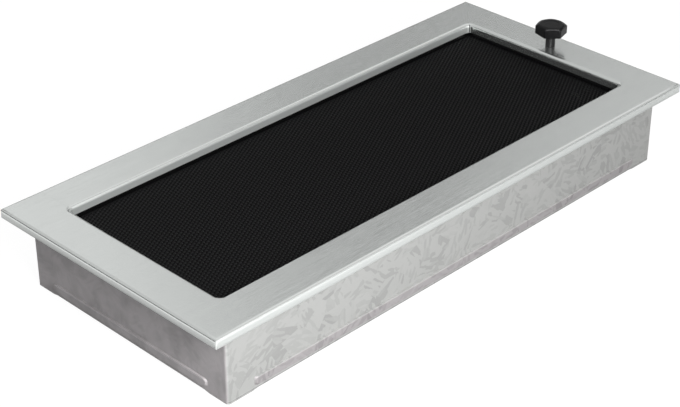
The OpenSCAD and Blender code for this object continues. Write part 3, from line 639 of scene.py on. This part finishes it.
class GRILLE_OT_face_plate(bpy.types.Operator):
    """Folds the face plate: flat border, rim turned down and in, lip round the opening"""

    bl_idname = "grille.face_plate"
    bl_label = "Face plate"

    def execute(self, context):
        s = context.scene.vent_plate
        high = PLATE[1]
        rim_z = high.z - s.rim
        half_l, half_w = s.opening_length / 2, s.opening_width / 2
        plate = primitive(
            bpy.ops.mesh.primitive_cube_add, "face_sheet", size=1, location=(0, 0, rim_z + s.rim / 2),
            stretch=(s.long, s.wide, s.rim),
        )
        edit(plate)
        for level, radius, segments in ((high.z, s.rim_bend, 9), (rim_z, s.foot_bend, 6)):
            pick("EDGE", lambda e: abs(middle(e).z - level) < 1e-6)
            bpy.ops.mesh.bevel(offset=radius, offset_pct=0, segments=segments, affect="EDGES")
        done()
        # the bends alone leave the corners sharp, so the plate is cut to a post with rounded edges
        post = primitive(
            bpy.ops.mesh.primitive_cube_add, "post", size=1, location=(0, 0, high.z), stretch=(s.long, s.wide, high.z)
        )
        edit(post)
        pick("EDGE", lambda e: abs(run(e).z) > 0.9)
        bpy.ops.mesh.bevel(offset=s.corner, offset_pct=0, segments=6, affect="EDGES")
        done()
        modifier(plate, "BOOLEAN", operation="INTERSECT", solver="EXACT", object=post)
        bpy.data.objects.remove(post)
        edit(plate)
        pick("FACE", lambda f: f.normal.z < -0.999 and f.calc_center_median().z < rim_z + 1e-6)
        bpy.ops.mesh.inset(thickness=s.foot - s.foot_bend)
        bpy.ops.mesh.delete(type="FACE")
        for side in (-1, 1):
            cut((side * half_l, 0, 0), (1, 0, 0))
            cut((0, side * half_w, 0), (0, 1, 0))

        def inside(p):
            return abs(p.x) < half_l + 1e-6 and abs(p.y) < half_w + 1e-6

        pick("FACE", lambda f: f.normal.z > 0.999 and inside(f.calc_center_median()))
        bpy.ops.mesh.extrude_region_move(TRANSFORM_OT_translate={"value": (0, 0, -s.lip)})
        bpy.ops.mesh.delete(type="FACE")
        pick("EDGE", lambda e: abs(run(e).z) > 0.99 and inside(middle(e)))
        bpy.ops.mesh.bevel(offset=s.opening_corner, offset_pct=0, segments=4, affect="EDGES")
        pick("EDGE", lambda e: inside(middle(e)) and middle(e).z > high.z - 1e-6 and len(e.link_faces) == 2
             and e.calc_face_angle(0) > 1)
        bpy.ops.mesh.bevel(offset=s.lip_bend, offset_pct=0, segments=8, affect="EDGES")
        done()
        modifier(plate, "SOLIDIFY", thickness=s.sheet, offset=-1, use_even_offset=True)
        # the lip's corners are slit from just below the face
        saw_length, saw_z = 5 * MM, high.z - 0.4 * MM - s.lip / 2
        for x in (-1, 1):
            for y in (-1, 1):
                saw = primitive(
                    bpy.ops.mesh.primitive_cube_add, "saw", size=1, location=(x * half_l, y * half_w, saw_z),
                    rotation=(0, 0, math.atan2(y, x)), stretch=(saw_length, s.seam, s.lip),
                )
                modifier(plate, "BOOLEAN", operation="DIFFERENCE", solver="MANIFOLD", object=saw)
                bpy.data.objects.remove(saw)
        smooth(plate, 40)
        dress(plate, finish("brushed_steel", brushed_steel), "grille", ["face_plate"])
        return {"FINISHED"}


class GRILLE_OT_mesh_panel(bpy.types.Operator):
    """Expands the black mesh and folds the tray that carries it"""

    bl_idname = "grille.mesh_panel"
    bl_label = "Mesh panel"

    def execute(self, context):
        s = context.scene.vent_mesh
        paint = finish("black_paint", black_paint)
        low, high = TRAY
        plane_z = s.top - s.thickness / 2
        field = [high.x - s.hem, high.y - s.hem]
        mesh = primitive(
            bpy.ops.mesh.primitive_circle_add, "expanded_mesh", vertices=4, radius=0.5, fill_type="NGON",
            location=(0, 0, plane_z), stretch=(s.cell_length, s.cell_width, 1),
        )
        edit(mesh)
        bpy.ops.mesh.select_all(action="SELECT")
        bpy.ops.mesh.duplicate_move(TRANSFORM_OT_translate={"value": (s.cell_length / 2, s.cell_width / 2, 0)})
        bpy.ops.mesh.select_all(action="SELECT")
        bpy.ops.mesh.inset(thickness=s.strand, use_individual=True)
        done()
        # each diamond's hole is turned a little out of the sheet, which tilts its strands
        for centre in (Vector((0, 0, plane_z)), Vector((s.cell_length / 2, s.cell_width / 2, plane_z))):
            edit(mesh)
            pick("FACE", lambda f: len(f.verts) == 4 and (f.calc_center_median() - centre).length < 0.2 * MM)
            bpy.ops.transform.rotate(value=s.tilt, orient_axis="X", orient_type="GLOBAL", center_override=centre)
            bpy.ops.mesh.delete(type="ONLY_FACE")
            done()
        across = 2 * math.ceil(field[0] / s.cell_length) + 2
        down = 2 * math.ceil(field[1] / s.cell_width) + 2
        for count, step in ((across, (s.cell_length, 0, 0)), (down, (0, s.cell_width, 0))):
            modifier(
                mesh, "ARRAY", count=count, use_relative_offset=False, use_constant_offset=True,
                constant_offset_displace=step, use_merge_vertices=True, merge_threshold=0.01 * MM,
            )
        mesh.location = (-(across // 2) * s.cell_length, -(down // 2) * s.cell_width, 0)
        alone(mesh)
        bpy.ops.object.transform_apply(location=True)
        for axis, reach in enumerate(field):
            for side in (-1, 1):
                normal = [0, 0, 0]
                normal[axis] = side
                trim(mesh, [reach * n for n in normal], normal)
        modifier(mesh, "SOLIDIFY", thickness=s.thickness, offset=0)
        dress(mesh, paint, "grille", ["mesh_panel"])

        tray = primitive(
            bpy.ops.mesh.primitive_plane_add, "mesh_tray", size=1, location=(0, 0, plane_z),
            stretch=(high.x - low.x, high.y - low.y, 1),
        )
        edit(tray)
        bpy.ops.mesh.select_all(action="SELECT")
        bpy.ops.mesh.inset(thickness=s.hem + 0.3 * MM)
        bpy.ops.mesh.delete(type="FACE")
        pick("EDGE", lambda e: e.is_boundary and (
            abs(middle(e).x) > high.x - 1e-5 or abs(middle(e).y) > high.y - 1e-5))
        bpy.ops.mesh.extrude_edges_move(TRANSFORM_OT_translate={"value": (0, 0, high.z - plane_z)})
        pick("EDGE", lambda e: not e.is_boundary and e.calc_face_angle(0) > 1)
        bpy.ops.mesh.bevel(offset=s.tray_bend, offset_pct=0, segments=4, affect="EDGES")
        bpy.ops.mesh.select_all(action="SELECT")
        bpy.ops.mesh.normals_make_consistent(inside=False)
        done()
        modifier(tray, "SOLIDIFY", thickness=s.tray_sheet, offset=-1, use_even_offset=True)
        smooth(tray)
        dress(tray, paint, "grille", ["mesh_panel"])
        return {"FINISHED"}


class GRILLE_OT_sleeve(bpy.types.Operator):
    """Presses the beads into the sleeve's four walls and gives it its spangle"""

    bl_idname = "grille.sleeve"
    bl_label = "Mounting sleeve"

    def execute(self, context):
        s = context.scene.vent_sleeve
        zinc = finish("spangled_zinc", spangled_zinc)
        high = SLEEVE[1]
        reach = Vector((s.wall_length, s.wall_width)) / 2
        shell = primitive(
            bpy.ops.mesh.primitive_cube_add, "sleeve_shell", size=1, location=(0, 0, high.z / 2),
            stretch=(2 * reach.x, 2 * reach.y, high.z),
        )
        edit(shell)
        pick("EDGE", lambda e: abs(run(e).z) > 0.9)
        bpy.ops.mesh.bevel(offset=s.corner, offset_pct=0, segments=5, affect="EDGES")
        done()
        for axis, end in ((0, s.bead_end_short), (1, s.bead_end_long)):
            for side in (-1, 1):
                bead = self.bead(s, reach, axis, side, end)
                modifier(shell, "BOOLEAN", operation="UNION", solver="EXACT", object=bead)
                bpy.data.objects.remove(bead)
        edit(shell)
        # between the beads' ends the foot is drawn up a little
        for axis, end in ((0, s.bead_end_long), (1, s.bead_end_short)):
            for side in (-1, 1):
                for step in (0, s.drawn_run):
                    point = [0, 0, 0]
                    point[axis] = side * (reach[axis] - end - step)
                    cut(point, [float(i == axis) for i in range(3)])
        inner = reach.x - s.bead_end_long - s.drawn_run, reach.y - s.bead_end_short - s.drawn_run
        pick("VERT", lambda v: v.co.z < 1e-6 and (
            abs(v.co.x) < inner[0] + 1e-6 or abs(v.co.y) < inner[1] + 1e-6))
        bpy.ops.transform.translate(value=(0, 0, s.drawn))
        pick("FACE", lambda f: abs(f.normal.z) > 0.9 and (
            f.calc_center_median().z > high.z - 1e-6 or f.calc_center_median().z < s.bead_low - 1e-5))
        bpy.ops.mesh.delete(type="FACE")
        done()
        modifier(shell, "SOLIDIFY", thickness=s.sheet, offset=-1, use_even_offset=True)
        smooth(shell, 30)
        dress(shell, zinc, "grille", ["mounting_sleeve"])
        lap_low = s.bead_high + 1 * MM
        lap = primitive(
            bpy.ops.mesh.primitive_cube_add, "sleeve_lap", size=1,
            location=(reach.x - 1.5 * s.sheet, reach.y - s.sheet - s.lap / 2, (high.z + lap_low) / 2),
            stretch=(s.sheet, s.lap, high.z - lap_low),
        )
        edit(lap)
        bpy.ops.mesh.select_all(action="SELECT")
        bpy.ops.mesh.bevel(offset=0.15 * MM, offset_pct=0, segments=2, affect="EDGES")
        done()
        smooth(lap, 30)
        dress(lap, zinc, "grille", ["mounting_sleeve"])
        return {"FINISHED"}

    def bead(self, s, reach, axis, side, end):
        """The solid that a bead adds to a wall: a rounded bar whose crest is shorter and narrower than its foot."""
        run_length = 2 * (reach[1 - axis] - end)
        size = [0.0, 0.0, s.bead_high - s.bead_low]
        size[axis] = 2 * s.bead_rise
        size[1 - axis] = run_length
        place = [0.0, 0.0, (s.bead_high + s.bead_low) / 2]
        place[axis] = side * reach[axis]
        bead = primitive(bpy.ops.mesh.primitive_cube_add, "bead", size=1, location=place, stretch=size)
        edit(bead)
        for radius, up in ((s.bead_round_low, -1), (s.bead_round_high, 1)):
            pick("EDGE", lambda e: abs(run(e)[axis]) > 0.9 and up * (middle(e).z - place[2]) > 3 * MM)
            bpy.ops.mesh.bevel(offset=radius, offset_pct=0, segments=6, affect="EDGES")
        pick("FACE", lambda f: f.normal[axis] * side > 0.9)
        # one scaling puts the crest's upper and lower edge at their heights
        narrowed = (s.crest_high - s.crest_low) / size[2]
        centre = [0.0, 0.0, (s.crest_high - narrowed * s.bead_high) / (1 - narrowed)]
        scale = [1.0, 1.0, narrowed]
        scale[1 - axis] = 1 - 2 * s.bead_ramp / run_length
        bpy.ops.transform.resize(value=scale, center_override=centre)
        pick("EDGE", lambda e: e.calc_face_angle(0) > 0.2 and abs(middle(e)[axis]) > reach[axis] + 1e-5)
        bpy.ops.mesh.bevel(offset=0.2 * MM, offset_pct=0, segments=2, affect="EDGES")
        done()
        return bead


class GRILLE_OT_knob(bpy.types.Operator):
    """Turns the knob's stem and moulds its hexagonal head"""

    bl_idname = "grille.knob"
    bl_label = "Knob"

    def execute(self, context):
        s = context.scene.vent_knob
        plastic = finish("moulded_black", moulded_black)
        low, high = HEAD
        centre = (low + high) / 2
        tall = high.z - low.z
        turn = math.radians(15)
        tip = (high.x - low.x) / 2 / math.cos(turn)
        head = primitive(
            bpy.ops.mesh.primitive_cylinder_add, "knob_cap", vertices=6, radius=tip, depth=tall, location=centre,
            rotation=(0, 0, -turn),
        )
        edit(head)
        pick("EDGE", lambda e: abs(run(e).z) > 0.9)
        bpy.ops.mesh.bevel(offset=0.5 * MM, offset_pct=0, segments=4, affect="EDGES")
        pick("EDGE", lambda e: middle(e).z < low.z + 1e-6)
        bpy.ops.mesh.bevel(offset=0.3 * MM, offset_pct=0, segments=3, affect="EDGES")
        done()
        # the coned edge and the dish are one turned shape, which the hexagon is cut to
        slope = s.chamfer / (tip - s.flat)
        fine = 0.15 * MM
        cone = turned("cone", (centre.x, centre.y), [
            (2 * tip, low.z - tall), (2 * tip, high.z - slope * (2 * tip - s.flat)),
            (s.flat + 3 * fine, high.z - 3 * fine * slope), (s.flat + fine, high.z - 0.3 * fine * slope),
            (s.flat - fine, high.z), (s.dish + fine, high.z), (s.dish, high.z - fine),
            (s.dish - 1.5 * fine, high.z - s.dish_depth + fine / 2), (s.dish - 3 * fine, high.z - s.dish_depth),
        ], sides=96)
        modifier(head, "BOOLEAN", operation="INTERSECT", solver="EXACT", object=cone)
        bpy.data.objects.remove(cone)
        smooth(head, 25)
        dress(head, plastic, "knob", ["knob_head"])

        foot, top = STEM
        axis = (foot + top) / 2
        r = (top.x - foot.x) / 2
        face = PLATE[1].z
        soft, step = 0.25 * MM, 0.5 * MM
        # from the foot: a riveted collar, the neck through the plate, the stem, and the spigot in the head
        stem = turned("knob_spindle", (axis.x, axis.y), [
            (s.neck, foot.z), (s.neck + 0.8 * MM, foot.z), (s.neck + 1 * MM, foot.z + 0.2 * MM),
            (s.neck + 1 * MM, foot.z + 0.8 * MM), (s.neck, foot.z + 0.8 * MM), (s.neck, face),
            (r - soft, face + 0.05 * MM), (r, face + soft), (r, low.z - soft), (r - soft, low.z),
            (r - step, low.z), (r - step, top.z - soft), (r - step - soft, top.z),
        ])
        dress(stem, finish("black_oxide", black_oxide), "knob", ["knob_stem"])
        return {"FINISHED"}


class GRILLE_OT_shutter(bpy.types.Operator):
    """Paints the shutter's frame and blades, and plates its small parts"""

    bl_idname = "grille.shutter"
    bl_label = "Shutter"

    def execute(self, context):
        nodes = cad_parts
        paint = finish("black_paint", black_paint)
        plated = finish("plated_steel", plated_steel)
        repaint([n for n in nodes if n.startswith(("rail_", "end_plate_", "blade_"))], paint)
        repaint(
            [n for n in nodes if n.startswith(("spindle_", "crank_")) or n.endswith("_rivets")]
            + ["drive_arm", "drive_pin", "link_bar"],
            plated,
        )
        repaint([n for n in nodes if n.startswith("clip_") and n != "clip_rivets"] + ["friction_washer"],
                finish("spring_steel", spring_steel))
        repaint(["bushes_left", "bushes_right"], finish("nylon", nylon))
        return {"FINISHED"}


class GRILLE_OT_stage(bpy.types.Operator):
    """Lays the floor, hangs the lamps and sets the camera at the photograph's angle"""

    bl_idname = "grille.stage"
    bl_label = "Stage"

    def lamp(self, name, place, aim, size, power):
        """A rectangular area lamp turned towards a point."""
        light = bpy.data.lights.new(name, "AREA")
        light.shape = "RECTANGLE"
        light.size, light.size_y = size
        light.energy = power
        lamp = bpy.data.objects.new(name, light)
        bpy.context.scene.collection.objects.link(lamp)
        lamp.location = place
        lamp.rotation_euler = (Vector(aim) - Vector(place)).to_track_quat("-Z", "Y").to_euler()

    def execute(self, context):
        s = context.scene.vent_stage
        floor_z = CAD_BOX[0].z - 0.2 * MM
        floor = primitive(bpy.ops.mesh.primitive_plane_add, "floor", size=12, location=(0, 0, floor_z))
        floor.data.materials.append(finish("floor_paper", floor_paper))

        world = context.scene.world or bpy.data.worlds.new("studio")
        context.scene.world = world
        board = Board(world)
        way = board.add("ShaderNodeTexCoord", output="Generated")
        height = board.add("ShaderNodeSeparateXYZ", inputs={"Vector": way}, output="Z")

        def card(azimuth, elevation, wide, soft):
            """1 inside a soft round patch of the sky, 0 outside it."""
            azimuth, elevation = math.radians(azimuth), math.radians(elevation)
            flat = math.cos(elevation)
            near = board.add(
                "ShaderNodeVectorMath", dict(operation="DOT_PRODUCT"),
                {0: way, 1: (flat * math.cos(azimuth), flat * math.sin(azimuth), math.sin(elevation))},
                output="Value",
            )
            return near.steps(math.cos(math.radians(soft)), math.cos(math.radians(wide)))

        # the tent is pale, with a brighter foot and a dark gap above it
        above = height.steps(0.03, 0.06)
        gap = above * (1 - height.steps(0.27, 0.34))
        level = 0.62 + 0.25 * (1 - above) - 0.6 * gap
        for azimuth, elevation, wide, soft, strength in SKY_CARDS:
            level = level + strength * card(azimuth, elevation, wide, soft)
        light = board.add("ShaderNodeBackground", inputs={"Color": (1, 1, 1, 1), "Strength": level})
        board.add_output("ShaderNodeOutputWorld", light)
        self.lamp("key", *KEY_LAMP, s.key_power)

        camera = bpy.data.objects.new("camera", bpy.data.cameras.new("camera"))
        context.scene.collection.objects.link(camera)
        camera.data.lens = s.lens
        camera.data.sensor_width = 36
        camera.data.clip_start = 10 * MM
        turn = Matrix((CAMERA_RIGHT, CAMERA_UP, CAMERA_RIGHT.cross(CAMERA_UP))).transposed()
        camera.matrix_world = Matrix.Translation(s.eye) @ turn.to_4x4()
        context.scene.camera = camera
        context.scene.view_settings.view_transform = "Standard"
        return {"FINISHED"}


class GRILLE_PT_panel(bpy.types.Panel):
    """Lists the operators in the sidebar"""

    bl_idname = "GRILLE_PT_panel"
    bl_label = "Vent Grille"
    bl_space_type = "VIEW_3D"
    bl_region_type = "UI"
    bl_category = "Vent Grille"

    def draw(self, context):
        for operator in OPERATORS:
            self.layout.operator(operator.bl_idname)
        for name in SETTINGS:
            box = self.layout.box()
            group = getattr(context.scene, name)
            for prop in group.bl_rna.properties:
                if prop.identifier not in ("rna_type", "name"):
                    box.prop(group, prop.identifier)


OPERATORS = (
    GRILLE_OT_face_plate,
    GRILLE_OT_mesh_panel,
    GRILLE_OT_sleeve,
    GRILLE_OT_knob,
    GRILLE_OT_shutter,
    GRILLE_OT_stage,
)
SETTINGS = {
    "vent_plate": PlateSettings,
    "vent_mesh": MeshSettings,
    "vent_sleeve": SleeveSettings,
    "vent_knob": KnobSettings,
    "vent_stage": StageSettings,
}


def register():
    for cls in (*SETTINGS.values(), *OPERATORS, GRILLE_PT_panel):
        bpy.utils.register_class(cls)
    for name, group in SETTINGS.items():
        setattr(bpy.types.Scene, name, bpy.props.PointerProperty(type=group))


def unregister():
    for name in SETTINGS:
        delattr(bpy.types.Scene, name)
    for cls in reversed((*SETTINGS.values(), *OPERATORS, GRILLE_PT_panel)):
        bpy.utils.unregister_class(cls)


def main():
    register()
    for operator in OPERATORS:
        getattr(bpy.ops.grille, operator.bl_idname.split(".")[1])()


if __name__ == "__main__":
    main()
